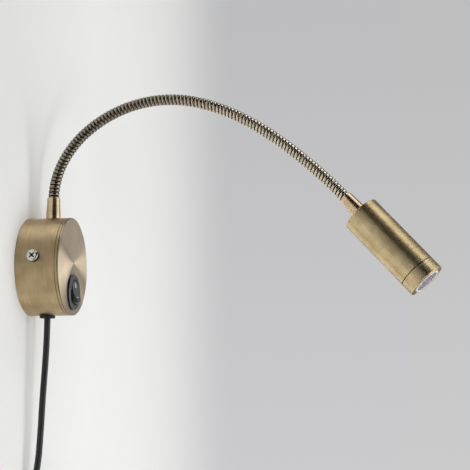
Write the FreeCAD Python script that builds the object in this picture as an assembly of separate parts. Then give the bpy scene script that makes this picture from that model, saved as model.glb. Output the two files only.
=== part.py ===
import FreeCAD, Part
import math
import os
from FreeCAD import Placement, Rotation, Vector

# Bedside wall reading lamp: a drum on the wall with a round rocker switch in its face, a wound
# flexible arm that stands on the drum's top, and a small tube head with one LED behind a lens.
# Millimetres. Origin: centre of the drum's back rim, on the wall. +Z up, +Y into the wall.

X, Y, Z = Vector(1, 0, 0), Vector(0, 1, 0), Vector(0, 0, 1)
ORIGIN = Vector(0, 0, 0)

# ---------------------------------------------------------------- driving dimensions
touch = 0.05                # gap at a push fit or a threaded fit
loose = 0.2                 # gap round a part that drops into its place

# drum
base_d = 65.0
base_depth = 29.0
base_wall = 1.5
base_edge = 0.5             # round of the front edge
groove_places = (0.8, 2.6)  # turned lines, behind the front face
groove_wide = 0.4
groove_deep = 0.25

# bracket on the wall
plate_d = 54.0
plate_t = 1.5
tab_wide = 12.0
tab_past_screw = 4.0        # tab length beyond the screw's axis
tab_bend = 1.2              # inside radius of the folded corner
bracket_lean = 6.0          # degrees that the two side screws lean from level
wall_slot_gap = 40.0        # slot centre to slot centre
wall_slot_wide = 4.6
wall_slot_long = 9.0

# side screws, M4 pan head
side_screw_d = 4.0
side_screw_out = 12.0       # wall to screw axis
side_screw_long = 6.0
pan_head_d = 8.0
pan_head_t = 2.6
cross_wide = 1.0            # cross recess
cross_long = 4.4
cross_deep = 1.4

# rocker switch, in the drum's face
flange_d = 23.6
switch_to_rim = 3.4         # flange to the drum's rim
flange_t = 1.9
flange_bevel = 0.8
switch_body_d = 19.8
switch_body_deep = 13.3
switch_floor = 1.1
switch_catch = 0.6          # how far the snap catches stand out
mouth_depth = 7.0           # round mouth that the rocker fills
mouth_gap = 0.25
well_wide, well_high = 10.0, 15.2
rocker_r = 8.2              # the rocker is part of a ball round its own axis
rocker_axis_deep = 0.6
rocker_under = 3.2          # underside, below the axis
rocker_rim = 4.0            # outer edge of its face, above the axis when level
rocker_dish = 0.8
rocker_tilt = 12.0          # degrees each way from level
pivot_d = 2.4
pivot_long = 1.2
stem_d = 5.2
stem_long = 3.5
plunger_d = 3.0
plunger_reach = 9.3         # rocker axis to plunger tip
plunger_long = 5.2
lever_wide = 3.0
lever_t = 0.5
lever_arm = 5.3
lever_bend = 8.0            # degrees that each half of the lever is bent up
blade_wide, blade_t, blade_long = 4.8, 0.8, 7.2
blade_hole_d = 1.6
contact_high = 6.6          # upper blade, above the switch's middle

# driver block behind the drum's face
driver_wide, driver_high, driver_thick = 38.0, 20.0, 13.0
driver_up = 6.5
driver_edge = 1.5

# fittings at both ends of the arm
neck_out = 14.4             # wall to the arm's foot
ferrule_long = 14.5
ferrule_d = 9.9             # at the body
ferrule_tip_d = 8.6         # at the hose
socket_deep = 10.0
seat_deep = 0.4             # flat cut in the drum's top for the ferrule
spigot_d = 8.0
spigot_long = 7.2
spigot_gap = 0.1            # round the spigot in its hole
saddle_d = 14.0
saddle_t = 2.1
washer_d = 13.0
washer_t = 1.0
nut_flats = 11.0
nut_t = 3.0

# wound arm
hose_d = 7.3
hose_groove = 0.4
hose_bore = 4.6
rib_count = 10              # on each section
section_long = 25.5
# degrees that each section bends the arm forward and down, and towards -X
arm_bend_angles = (27.0, 22.0, 17.25, 17.5, 17.5, 13.0, 9.0, 6.5, 3.75, 4.5)
arm_lean_angles = (0.0, 0.0, 0.0, 0.0, 0.0, 1.5, 1.5, 1.5, 1.5, 1.5)
lead_d = 3.0                # twin lead in the arm's bore
lead_tail = 1.0             # how far it reaches past each fitting

# head
head_d = 25.0
head_long = 60.7
head_wall = 1.2
head_back = 1.8
head_edge = 0.8
bezel_long = 9.0
bezel_spigot = 5.0
bezel_spigot_wall = 0.8
bezel_lip = 1.3
aperture_d = 19.0
shadow_wide, shadow_deep = 0.6, 0.5
bezel_edge = 0.4
gasket_d = 0.6
holder_rim = 1.1            # pale rim seen round the lens
lens_sunk = 0.4
lens_flange_t = 0.8
lens_deep = 9.8
lens_back_d = 7.6
optic_gap = 0.4
holder_ledge = 0.7
holder_foot_d = 18.0
holder_foot_wall = 0.8
sink_long = 30.0
sink_plate = 6.0
fin_count = 10
fin_slot_wide, fin_slot_deep = 1.6, 5.0
sink_hole_d = 7.0
board_t = 1.6
board_d = 18.0
board_screw_d, board_screw_long = 2.0, 4.5
board_screw_head_d, board_screw_head_t = 3.8, 1.3
board_screw_r = 5.4
chip_side, chip_t, dome_r = 3.45, 2.0, 1.4
thin_lead_d = 1.4           # one of the two LED leads

# mains cord, its bush, coil, tie and plug
cord_d = 4.2
cord_to_switch = 1.6        # gap between the cord and the switch's floor
bush_d = 10.2
bush_t = 1.6
bush_neck_d = 7.2
bush_inner_d = 9.2
bush_inner_t = 1.4
collar_d, collar_t = 6.4, 1.6
cord_tail = 8.5             # cord inside the drum, from the inner wall
core_d, core_gap = 1.7, 2.1 # the cord's two cores
lead_stub = 3.5             # straight start of a lead from a terminal
lead_slack = 2.5            # how far a lead stands off what it turns round
cord_route = (              # drum to coil, chosen by hand
    (0.0, -12.0, -34.1),
    (0.0, -12.0, -47.0),
    (0.4, -11.2, -65.0),
    (0.0, -10.1, -87.0),
    (0.4, -9.2, -109.0),
    (-0.4, -8.4, -128.0),
    (-3.0, -6.9, -141.0),
    (-7.2, -4.6, -152.0),
    (-10.0, -3.2, -164.0),
    (-10.0, -3.2, -173.0),
)
coil_outer_r = 29.6         # axis of the outer turn
coil_pitch = 4.8            # turn to turn, and layer to layer
coil_layers = 4
layer_turns = 2.375
climb_turns = 0.5
coil_end_straight = 25.0
tie_wide, tie_t, tie_gap = 8.0, 1.0, 0.5
plug_wide, plug_thick, plug_long = 35.3, 13.7, 18.0
plug_shoulder = 8.0
plug_relief_long, plug_relief_d, plug_relief_tip_d = 20.0, 9.0, 6.0
plug_front = 2.0
pin_d, pin_long, pin_gap = 4.0, 19.0, 18.6
sleeve_d, sleeve_core_d, sleeve_long = 3.6, 3.0, 10.0

# ---------------------------------------------------------------- places worked out from them
base_r = base_d / 2
inner_r = base_r - base_wall
switch_drop = base_r - flange_d / 2 - switch_to_rim
cord_out = base_depth - switch_body_deep - cord_to_switch - cord_d / 2
# drum frame: x right, y up, z out from the wall
drum = Placement(ORIGIN, Rotation(X, 90))
switch = drum * Placement(Vector(0, -switch_drop, base_depth), Rotation())
neck_seat = base_r - seat_deep
neck_foot = Placement(Vector(0, -neck_out, neck_seat), Rotation())
arm_start = neck_foot * Placement(Z * ferrule_long, Rotation())
nut_top = inner_r - saddle_t
cord_hole_top = -inner_r + cord_tail
coil_inner_r = coil_outer_r - coil_pitch * layer_turns
coil_top = Vector(*cord_route[-1])
coil_start = coil_top - Z * cord_d         # the coil's ends run straight for one cord diameter
coil_middle = coil_start + X * coil_outer_r

head_bore_r = head_d / 2 - head_wall
tube_long = head_long - bezel_long
lip_back = head_long - bezel_lip
gasket_back = lip_back - gasket_d
holder_r = head_bore_r - touch - bezel_spigot_wall - 2 * touch
lens_r = aperture_d / 2 - holder_rim
lens_front = gasket_back - lens_sunk
lens_seat = lens_front - lens_flange_t
lens_back = lens_seat - lens_deep + lens_flange_t
chip_top = lens_back - optic_gap - dome_r
board_front = chip_top - chip_t
sink_front = board_front - board_t
sink_back = sink_front - sink_long
board_lead_y = (sink_hole_d - thin_lead_d) / 2 - 2 * touch


# ---------------------------------------------------------------- shapes
def rod(radius, low, high, x=0.0, y=0.0):
    """A cylinder along z, from low to high."""
    return Part.makeCylinder(radius, high - low, Vector(x, y, low))


def cross_rod(radius, start, direction, length):
    """A cylinder from a start point along a direction."""
    return Part.makeCylinder(radius, length, start, direction)


def block(x, y, z):
    """A box from three (low, high) pairs."""
    return Part.makeBox(x[1] - x[0], y[1] - y[0], z[1] - z[0], Vector(x[0], y[0], z[0]))


def turned(profile):
    """A solid turned about z from an outline of (radius, z) points."""
    points = [Vector(r, 0, z) for r, z in profile]
    face = Part.Face(Part.makePolygon(points + points[:1]))
    return face.revolve(ORIGIN, Z, 360)


def fuse(shapes):
    """One solid from shapes that meet."""
    whole = shapes[0].fuse(shapes[1:]) if len(shapes) > 1 else shapes[0]
    return whole.removeSplitter()


def hexagon(flats, low, high):
    """A hexagonal prism along z."""
    reach = flats / math.sqrt(3)
    corners = [Vector(reach * math.cos(math.radians(60 * n)),
                      reach * math.sin(math.radians(60 * n)), low) for n in range(7)]
    return Part.Face(Part.makePolygon(corners)).extrude(Z * (high - low))


def round_rims(solid, radius, z):
    """The solid with the circular edges at height z rounded."""
    rims = [e for e in solid.Edges
            if abs(e.BoundBox.ZMin - z) < 1e-6 and abs(e.BoundBox.ZMax - z) < 1e-6]
    return solid.makeFillet(radius, rims)


def save(name, shape, frame=Placement()):
    """Writes one node, moved from its own frame to its place on the lamp."""
    solid = shape.copy()
    solid.Placement = frame * solid.Placement
    solid.exportStep(f"parts/{name}.step")


def pan_screw(shank_d, shank_long, head_diameter, head_t, cross=True):
    """A pan head screw: head from z = 0 up, shank below, cross recess turned 45 degrees."""
    head = rod(head_diameter / 2, 0, head_t)
    head = round_rims(head, head_t * 0.55, head_t)
    screw = fuse([head, rod(shank_d / 2, -shank_long, 0)])
    if not cross:
        return screw
    bar = block((-cross_long / 2, cross_long / 2), (-cross_wide / 2, cross_wide / 2),
                (head_t - cross_deep, head_t + 1))
    for angle in (45, 135):
        arm = bar.copy()
        arm.rotate(ORIGIN, Z, angle)
        screw = screw.cut(arm)
    return screw


# ---------------------------------------------------------------- drum and bracket
def side_screw_frames():
    """The two side screws' frames: z runs out through the drum's side."""
    frames = []
    for angle in (180 - bracket_lean, -bracket_lean):
        turn = Rotation(Z, angle) * Rotation(Y, 90)
        frames.append(Placement(Vector(0, 0, side_screw_out), turn))
    return frames


def base_cover():
    """The drum: a spun cup, open at the wall, with two fine turned lines behind its face."""
    cup = round_rims(rod(base_r, 0, base_depth), base_edge, base_depth)
    cup = cup.cut(rod(inner_r, -1, base_depth - base_wall))
    for place in groove_places:
        top = base_depth - place
        line = rod(base_r + 1, top - groove_wide, top)
        cup = cup.cut(line.cut(rod(base_r - groove_deep, top - groove_wide, top)))
    cup = cup.cut(rod(switch_body_d / 2 + loose, 0, base_depth + 1, 0, -switch_drop))
    neck = Vector(0, neck_seat, neck_out)
    cup = cup.cut(cross_rod(ferrule_d / 2 + loose, neck, Y, base_r))
    cup = cup.cut(cross_rod(spigot_d / 2 + spigot_gap, neck - Y * base_r / 2, Y, base_r))
    cup = cup.cut(cross_rod(bush_neck_d / 2 + touch, Vector(0, 0, cord_out), -Y, base_d))
    for frame in side_screw_frames():
        hole = rod(side_screw_d / 2 + loose, inner_r / 2, base_d)
        hole.Placement = frame
        cup = cup.cut(hole)
    return cup


def wall_bracket():
    """The steel plate on the wall: a disc with two slots and two folded tabs with tapped holes."""
    # flat tab inside the round drum: its corners stay clear of the drum's inner wall
    tab_x = math.sqrt((inner_r - loose) ** 2 - (tab_wide / 2) ** 2)
    tab_top = side_screw_out + tab_past_screw
    half = tab_wide / 2
    pieces = [rod(plate_d / 2, 0, plate_t), block((-tab_x, tab_x), (-half, half), (0, plate_t))]
    for side in (-1, 1):
        pieces.append(block(sorted((side * tab_x, side * (tab_x - plate_t))),
                            (-half, half), (0, tab_top)))
        corner = side * (tab_x - plate_t)
        fold = block(sorted((corner, corner - side * tab_bend)), (-half, half),
                     (plate_t, plate_t + tab_bend))
        centre = Vector(corner - side * tab_bend, -half, plate_t + tab_bend)
        pieces.append(fold.cut(cross_rod(tab_bend, centre, Y, tab_wide)))
    bracket = fuse(pieces)
    for side in (-1, 1):
        hole = cross_rod(side_screw_d / 2, Vector(side * tab_x / 2, 0, side_screw_out),
                         X * side, tab_x)
        bracket = bracket.cut(hole)
    bracket.rotate(ORIGIN, Z, -bracket_lean)
    run = (wall_slot_long - wall_slot_wide) / 2
    for side in (-1, 1):
        middle = side * wall_slot_gap / 2
        bracket = bracket.cut(block((middle - run, middle + run),
                                    (-wall_slot_wide / 2, wall_slot_wide / 2), (-1, plate_t + 1)))
        for end in (-run, run):
            bracket = bracket.cut(rod(wall_slot_wide / 2, -1, plate_t + 1, middle + end, 0))
    return bracket


def cover_screws():
    """The two pan head screws that hold the drum on the bracket's tabs."""
    screws = []
    for frame in side_screw_frames():
        screw = pan_screw(side_screw_d, side_screw_long, pan_head_d, pan_head_t)
        screw.Placement = frame * Placement(Z * base_r, Rotation())
        screws.append(screw)
    return Part.makeCompound(screws)


def led_driver():
    """The potted driver block, stuck behind the drum's face above the switch."""
    back = base_depth - base_wall
    body = block((-driver_wide / 2, driver_wide / 2),
                 (driver_up - driver_high / 2, driver_up + driver_high / 2),
                 (back - driver_thick, back))
    return body.makeFillet(driver_edge, [e for e in body.Edges if e.BoundBox.ZMax < back - 1e-6
                                         or e.BoundBox.ZLength > 1])


# ---------------------------------------------------------------- rocker switch
# switch frame: x right, y up, z out, z = 0 on the drum's face
mouth_r = rocker_r + mouth_gap
rocker_axis = Vector(0, 0, -rocker_axis_deep)
well_floor = -switch_body_deep + switch_floor
lever_axis_z = rocker_axis.z - plunger_reach - lever_t
lever_axis = Vector(0, 0, lever_axis_z)


def catch(side):
    """One snap catch on the switch's side, behind the drum's face."""
    foot, tip = switch_body_d / 2 - 1, switch_body_d / 2 + switch_catch
    shelf = -base_wall - touch
    outline = [Vector(side * foot, 0, shelf), Vector(side * tip, 0, shelf),
               Vector(side * foot, 0, shelf - 4)]
    face = Part.Face(Part.makePolygon(outline + outline[:1]))
    face.translate(-Y * 2)
    return face.extrude(Y * 4)


def blade(y):
    """One flat terminal blade through the switch's floor, with its eye."""
    low = -switch_body_deep - blade_long
    strip = block((-blade_wide / 2, blade_wide / 2), (y - blade_t / 2, y + blade_t / 2),
                  (low, well_floor))
    eye = cross_rod(blade_hole_d / 2, Vector(0, y - blade_t, low + blade_wide / 2), Y, 2 * blade_t)
    return strip.cut(eye)


def switch_housing():
    """The round switch case: bevelled flange, ball mouth, well, catches and pivot holes."""
    body_r, bevel_r = switch_body_d / 2, flange_d / 2
    case = turned([(0, -switch_body_deep), (body_r, -switch_body_deep), (body_r, 0),
                   (bevel_r, 0), (bevel_r, flange_t - flange_bevel),
                   (bevel_r - flange_bevel, flange_t), (0, flange_t)])
    case = fuse([case, catch(-1), catch(1)])
    case = case.cut(rod(mouth_r, -mouth_depth, flange_t + 1))
    case = case.cut(block((-well_wide / 2, well_wide / 2), (-well_high / 2, well_high / 2),
                          (well_floor, -mouth_depth + 1)))
    reach = rocker_r + pivot_long + touch
    case = case.cut(cross_rod(pivot_d / 2 + touch, rocker_axis - X * reach, X, 2 * reach))
    for y in (0, contact_high):
        case = case.cut(block((-blade_wide / 2, blade_wide / 2),
                              (y - blade_t / 2, y + blade_t / 2),
                              (-switch_body_deep - 1, well_floor + 1)))
    return case


def tilt(shape, centre, degrees):
    """The shape turned about the switch's level axis through a centre."""
    shape.rotate(centre, X, degrees)
    return shape


def switch_rocker():
    """The rocker: part of a ball with a dished face, a hollow stem and two pivot pins."""
    ball = Part.makeSphere(rocker_r, rocker_axis)
    rim = rocker_axis.z + rocker_rim
    half_chord = math.sqrt(rocker_r ** 2 - rocker_rim ** 2)
    dish_r = (half_chord ** 2 + rocker_dish ** 2) / (2 * rocker_dish)
    face_low = rim - rocker_dish
    keep = block((-rocker_r, rocker_r), (-rocker_r, rocker_r),
                 (rocker_axis.z - rocker_under, rim))
    dish = cross_rod(dish_r, Vector(-rocker_r - 1, 0, face_low + dish_r), X, 2 * rocker_r + 2)
    paddle = ball.common(keep).cut(dish)
    under = rocker_axis.z - rocker_under
    reach = rocker_r + pivot_long
    pins = cross_rod(pivot_d / 2, rocker_axis - X * reach, X, 2 * reach)
    rocker = fuse([paddle, rod(stem_d / 2, under - stem_long, under + 1), pins])
    bore_top = under - stem_long + plunger_long
    rocker = rocker.cut(rod(plunger_d / 2 + touch, under - stem_long - 1, bore_top))
    return tilt(rocker, rocker_axis, -rocker_tilt)


def switch_plunger():
    """The sprung plunger in the rocker's stem, with its ball tip on the lever."""
    tip = rocker_axis.z - plunger_reach
    ball_z = tip + plunger_d / 2
    top = rocker_axis.z - rocker_under - 1
    plunger = fuse([rod(plunger_d / 2, ball_z, top),
                    Part.makeSphere(plunger_d / 2, Vector(0, 0, ball_z))])
    return tilt(plunger, rocker_axis, -rocker_tilt)


def plunger_spring():
    """The plunger's spring, drawn as one sleeve between the plunger and the stem's end."""
    low = rocker_axis.z - rocker_under - 1
    high = rocker_axis.z - rocker_under - stem_long + plunger_long
    spring = rod(plunger_d / 2 - touch, low, high).cut(rod(plunger_d / 4, low - 1, high + 1))
    return tilt(spring, rocker_axis, -rocker_tilt)


def contact_lever():
    """The copper see-saw that the plunger throws over: both halves bent up a little."""
    halves = []
    for side in (-1, 1):
        half = block((-lever_wide / 2, lever_wide / 2), sorted((0, side * lever_arm)),
                     (lever_axis_z - lever_t / 2, lever_axis_z + lever_t / 2))
        halves.append(tilt(half, lever_axis, side * lever_bend))
    return tilt(fuse(halves), lever_axis, lever_bend)


def switch_terminals():
    """The two brass terminals: one carries the lever, the other is its fixed contact."""
    lever_under = lever_axis_z - lever_t / 2
    post = block((-lever_wide / 2, lever_wide / 2), (-blade_t / 2, blade_t / 2),
                 (well_floor, lever_under - loose))
    foot = block((-lever_wide / 2, lever_wide / 2),
                 (lever_arm - lever_wide / 2, contact_high + blade_t / 2),
                 (well_floor, well_floor + (lever_under - well_floor) / 3))
    return Part.makeCompound([fuse([blade(0), post]), fuse([blade(contact_high), foot])])


# ---------------------------------------------------------------- arm fittings
def ferrule():
    """A turned fitting: tapered body with the hose's socket, hollow threaded spigot below."""
    outline = [(hose_bore / 2, -spigot_long), (spigot_d / 2, -spigot_long), (spigot_d / 2, 0),
               (ferrule_d / 2, 0), (ferrule_tip_d / 2, ferrule_long),
               (hose_d / 2 + touch, ferrule_long), (hose_d / 2 + touch, ferrule_long - socket_deep),
               (hose_bore / 2, ferrule_long - socket_deep)]
    return turned(outline)


def neck_saddle():
    """The cast washer inside the drum: round on top like the drum's wall, flat for the nut."""
    saddle = cross_rod(saddle_d / 2, Vector(0, nut_top, neck_out), Y, base_wall + saddle_t)
    saddle = saddle.common(rod(inner_r, 0, base_depth))
    return saddle.cut(cross_rod(spigot_d / 2 + touch, Vector(0, 0, neck_out), Y, base_r))


def nut():
    """A hexagon nut below z = 0."""
    return hexagon(nut_flats, -nut_t, 0).cut(rod(spigot_d / 2, -nut_t - 1, 1))


# ---------------------------------------------------------------- wound arm
def section_place(start, bend, lean, share):
    """The arm's frame part way along a section. Each section is one arc of a circle."""
    turn = math.hypot(bend, lean)
    axis = Vector(bend, -lean, 0).normalize()
    centre = axis.cross(Z) * (section_long / math.radians(turn))
    return start * Placement(ORIGIN, Rotation(axis, turn * share), centre)


def arm_frames():
    """The frames where the sections end: z along the arm, x the axis of the forward bend."""
    frames = [arm_start]
    for bend, lean in zip(arm_bend_angles, arm_lean_angles):
        frames.append(section_place(frames[-1], bend, lean, 1.0))
    return frames


def arc_rod(radius, bend, lean, spare=0.0):
    """A round bar bent to one section's arc, in the section's own frame."""
    turn = math.hypot(bend, lean)
    axis = Vector(bend, -lean, 0).normalize()
    centre = axis.cross(Z) * (section_long / math.radians(turn))
    face = Part.Face(Part.Wire(Part.makeCircle(radius)))
    face.rotate(centre, axis, -spare)
    return face.revolve(centre, axis, turn + 2 * spare)


def hose_section(index):
    """One stretch of the wound hose: ribs by a ruled loft, and its bore."""
    bend, lean = arm_bend_angles[index], arm_lean_angles[index]
    crest, root = hose_d / 2, hose_d / 2 - hose_groove
    stations = []
    for rib in range(rib_count):
        stations += [(rib, root), (rib + 0.22, crest), (rib + 0.78, crest)]
    stations.append((rib_count, root))
    rings = []
    for place, radius in stations:
        ring = Part.Wire(Part.makeCircle(radius))
        ring.Placement = section_place(Placement(), bend, lean, place / rib_count)
        rings.append(ring)
    hose = Part.makeLoft(rings, True, True)
    end_d = hose_d - 2 * touch
    if index == 0:
        hose = fuse([hose, rod(end_d / 2, -socket_deep + touch, 0)])
        hose = hose.cut(rod(hose_bore / 2, -socket_deep, 0))
    if index == len(arm_bend_angles) - 1:
        plain = rod(end_d / 2, 0, socket_deep - touch)
        plain.Placement = section_place(Placement(), bend, lean, 1.0)
        hose = fuse([hose, plain])
        bore = rod(hose_bore / 2, 0, socket_deep)
        bore.Placement = section_place(Placement(), bend, lean, 1.0)
        hose = hose.cut(bore)
    return hose.cut(arc_rod(hose_bore / 2, bend, lean, 1e-3))


def arm_lead(index):
    """One stretch of the twin lead in the arm, with its straight ends in the fittings."""
    bend, lean = arm_bend_angles[index], arm_lean_angles[index]
    lead = arc_rod(lead_d / 2, bend, lean)
    through = ferrule_long + spigot_long + lead_tail
    if index == 0:
        lead = fuse([lead, rod(lead_d / 2, -through, 0)])
    if index == len(arm_bend_angles) - 1:
        end = rod(lead_d / 2, 0, through)
        end.Placement = section_place(Placement(), bend, lean, 1.0)
        lead = fuse([lead, end])
    return lead


# ---------------------------------------------------------------- head
# head frame: z forward to the lens, z = 0 on the back face
def head_tube():
    """The head's tube: closed at the back round the arm's fitting, open at the front."""
    tube = round_rims(rod(head_d / 2, 0, tube_long), head_edge, 0)
    tube = tube.cut(rod(head_bore_r, head_back, tube_long + 1))
    return tube.cut(rod(spigot_d / 2 + spigot_gap, -1, head_back + 1))


def lock_washer():
    """The plain washer under the head's nut, below z = 0."""
    return rod(washer_d / 2, -washer_t, 0).cut(rod(spigot_d / 2 + touch, -washer_t - 1, 1))


def heat_sink():
    """The aluminium plug that takes the LED's heat to the tube, slotted into fins at the back."""
    sink = rod(head_bore_r - touch, sink_back, sink_front)
    sink = sink.cut(rod(sink_hole_d / 2, sink_back - 1, sink_front + 1))
    slot = block((head_bore_r - fin_slot_deep, head_d), (-fin_slot_wide / 2, fin_slot_wide / 2),
                 (sink_back - 1, sink_front - sink_plate))
    for n in range(fin_count):
        cutter = slot.copy()
        cutter.rotate(ORIGIN, Z, 360.0 * (n + 0.5) / fin_count)
        sink = sink.cut(cutter)
    for side in (-1, 1):
        sink = sink.cut(rod(board_screw_d / 2, board_front - board_screw_long, sink_front + 1,
                            side * board_screw_r))
    return sink


def led_board():
    """The LED's round metal-core board, with two screw holes and two lead holes."""
    board = rod(board_d / 2, sink_front, board_front)
    for side in (-1, 1):
        board = board.cut(rod(board_screw_d / 2 + touch, sink_front - 1, board_front + 1,
                              side * board_screw_r))
        board = board.cut(rod(thin_lead_d / 2 + touch, sink_front - 1, board_front + 1,
                              0, side * board_lead_y))
    return board


def led_chip():
    """The LED: a square package with a clear dome."""
    half = chip_side / 2
    package = block((-half, half), (-half, half), (board_front, chip_top))
    dome = Part.makeSphere(dome_r, Vector(0, 0, chip_top))
    dome = dome.common(rod(dome_r + 1, chip_top, chip_top + 2 * dome_r))
    return fuse([package, dome])


def board_screws():
    """The two small screws that hold the board on the heat sink."""
    screws = []
    for side in (-1, 1):
        screw = pan_screw(board_screw_d, board_screw_long, board_screw_head_d,
                          board_screw_head_t, cross=False)
        screw.translate(Vector(side * board_screw_r, 0, board_front))
        screws.append(screw)
    return Part.makeCompound(screws)


def lens_holder():
    """The pale cup on the board that carries the lens and shows as a rim round it."""
    foot_r = holder_foot_d / 2
    head_top = board_front + board_screw_head_t
    floor = head_top + 2 * loose
    waist = lens_back_d / 2 + optic_gap
    return turned([(foot_r, board_front), (foot_r, floor), (holder_r, floor + holder_r - foot_r),
                   (holder_r, gasket_back), (lens_r + touch, gasket_back),
                   (lens_r + touch, lens_seat), (lens_r - holder_ledge, lens_seat),
                   (waist, lens_back), (waist, floor), (foot_r - holder_foot_wall, floor),
                   (foot_r - holder_foot_wall, board_front)])


def lens():
    """The clear lens: a flange over a cone that gathers the LED's light."""
    neck = lens_r - holder_ledge - optic_gap
    return turned([(0, lens_back), (lens_back_d / 2, lens_back), (neck, lens_seat),
                   (lens_r, lens_seat), (lens_r, lens_front), (0, lens_front)])


def lens_gasket():
    """The black ring between the lens holder and the bezel's lip."""
    outer = holder_r - touch
    return rod(outer, gasket_back, lip_back).cut(rod(aperture_d / 2, gasket_back - 1, lip_back + 1))


def bezel_ring():
    """The turned front ring: it screws into the tube and leaves a fine shadow line behind it."""
    outer, lip = head_d / 2, aperture_d / 2
    thread = head_bore_r - touch
    bore = thread - bezel_spigot_wall
    return turned([(thread, tube_long - bezel_spigot), (thread, tube_long),
                   (outer - shadow_deep, tube_long), (outer - shadow_deep, tube_long + shadow_wide),
                   (outer, tube_long + shadow_wide), (outer, head_long - bezel_edge),
                   (outer - bezel_edge, head_long), (lip + bezel_edge, head_long),
                   (lip, head_long - bezel_edge), (lip, lip_back), (bore, lip_back),
                   (bore, tube_long - bezel_spigot)])


# ---------------------------------------------------------------- leads and cord
def corner_arc(before, corner, after):
    """The points where a route's corner arc starts, passes its middle and ends, and its radius."""
    back, on = (before - corner), (after - corner)
    reach = 0.45 * min(back.Length, on.Length)
    start, end = corner + back.normalize() * reach, corner + on.normalize() * reach
    half_turn = (math.pi - back.getAngle(on)) / 2
    radius = reach / math.tan(half_turn)
    inward = (start + end) / 2 - corner
    middle = corner + inward.normalize() * (radius / math.cos(half_turn) - radius)
    return start, middle, end, radius


def routed_tube(route, diameter):
    """A tube along straight runs joined by tangent arcs; it returns its length and radii too."""
    points = [Vector(*p) for p in route]
    edges, radii, here = [], [], points[0]
    for before, corner, after in zip(points, points[1:], points[2:]):
        start, middle, end, radius = corner_arc(before, corner, after)
        edges += [Part.LineSegment(here, start).toShape(), Part.Arc(start, middle, end).toShape()]
        radii.append(radius)
        here = end
    edges.append(Part.LineSegment(here, points[-1]).toShape())
    path = Part.Wire(edges)
    section = Part.Wire(Part.makeCircle(diameter / 2, points[0], points[1] - points[0]))
    return path.makePipeShell([section], True, False), path.Length, radii


def internal_leads():
    """The leads in the drum: cord to switch, switch to driver, cord to driver, driver to arm."""
    side = core_gap / 2
    cord_top, arm_end = cord_hole_top, neck_seat - spigot_long - lead_tail
    lower = -switch_drop - blade_t / 2
    upper = contact_high - switch_drop + blade_t / 2
    back = base_depth - base_wall - driver_thick
    driver_top = driver_up + driver_high / 2
    entry_x, behind = driver_wide / 4, back / 2
    mains = (
        ((-side, cord_top, cord_out), (-side, lower, cord_out)),
        ((-side, upper, cord_out), (-side, upper + lead_stub, cord_out),
         (-entry_x * 0.65, upper + lead_stub + lead_slack, behind), (-entry_x, driver_up, behind),
         (-entry_x, driver_up, back)),
        ((side, cord_top, cord_out), (side, cord_top + lead_slack, cord_out),
         (entry_x * 0.55, lower, behind + 1), (entry_x * 0.85, upper, behind - 1),
         (entry_x, driver_up, behind), (entry_x, driver_up, back)),
    )
    leads = [routed_tube(route, core_d)[0] for route in mains]
    for x in (-1, 1):
        route = ((x * thin_lead_d / 2, arm_end, neck_out), (x * thin_lead_d / 2, arm_end - lead_slack, neck_out),
                 (x * lead_d, driver_top + lead_slack, back + lead_d), (x * lead_d, driver_top, back + lead_d))
        leads.append(routed_tube(route, thin_lead_d - touch)[0])
    return Part.makeCompound(leads)


def head_leads():
    """The two LED leads from the arm through the heat sink to the board."""
    start, inner = spigot_long + lead_tail, thin_lead_d / 2
    leads = []
    for y in (-1, 1):
        route = ((0, y * inner, start), (0, y * inner, start + lead_slack),
                 (0, y * board_lead_y, sink_back), (0, y * board_lead_y, board_front + loose))
        leads.append(routed_tube(route, thin_lead_d - touch)[0])
    return Part.makeCompound(leads)


def cable_bush():
    """The rubber bush in the drum's underside, which grips the cord."""
    down = -Y
    hole = Vector(0, 0, cord_out)
    flange = cross_rod(bush_d / 2, hole - Y * (base_r - 1), down, bush_t + 1)
    flange = flange.cut(rod(base_r, 0, base_depth))
    inner = cross_rod(bush_inner_d / 2, hole - Y * (inner_r - bush_inner_t), down, 2 * bush_inner_t)
    inner = inner.common(rod(inner_r, 0, base_depth))
    neck = cross_rod(bush_neck_d / 2, hole - Y * (inner_r - bush_inner_t), down,
                     base_wall + bush_inner_t + bush_t / 2)
    bush = fuse([flange, neck, inner])
    return bush.cut(cross_rod(cord_d / 2 + touch, hole, down, base_d))


def cord_inner_end():
    """The cord's end inside the drum, through the bush."""
    top = Vector(0, cord_hole_top, cord_out)
    return cross_rod(cord_d / 2, top, -Y, base_r + bush_t + cord_hole_top)


def cord_stop():
    """The crimped collar that keeps the cord from being pulled out."""
    top = Vector(0, -inner_r + bush_inner_t + collar_t, cord_out)
    collar = cross_rod(collar_d / 2, top, -Y, collar_t)
    return collar.cut(cross_rod(cord_d / 2, top + Y, -Y, collar_t + 2))


def coil_point(turns):
    """The coil's axis after a number of turns: a flat spiral, in and out, layer by layer.

    Between two layers it turns back in a smooth bulge while it climbs one step out.
    """
    layer = min(int(turns // (layer_turns + climb_turns)), coil_layers - 1)
    inside = turns - layer * (layer_turns + climb_turns)
    inward = layer % 2 == 0
    rate = -coil_pitch if inward else coil_pitch
    radius, rise = coil_outer_r if inward else coil_inner_r, 0.0
    radius += rate * min(inside, layer_turns)
    if inside > layer_turns:
        climb = (inside - layer_turns) / climb_turns
        radius += rate * climb_turns * (climb - climb ** 2)
        rise = coil_pitch * (climb - math.sin(2 * math.pi * climb) / (2 * math.pi))
    angle = math.pi + 2 * math.pi * turns
    return coil_middle + Vector(radius * math.cos(angle), -(layer * coil_pitch + rise),
                                radius * math.sin(angle))


def coil_heading(turns, total):
    """The unit tangent of the coil's axis; both ends run straight down."""
    if turns <= 0 or turns >= total:
        return -Z
    step = 1e-4
    return (coil_point(turns + step) - coil_point(turns - step)).normalize()


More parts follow.
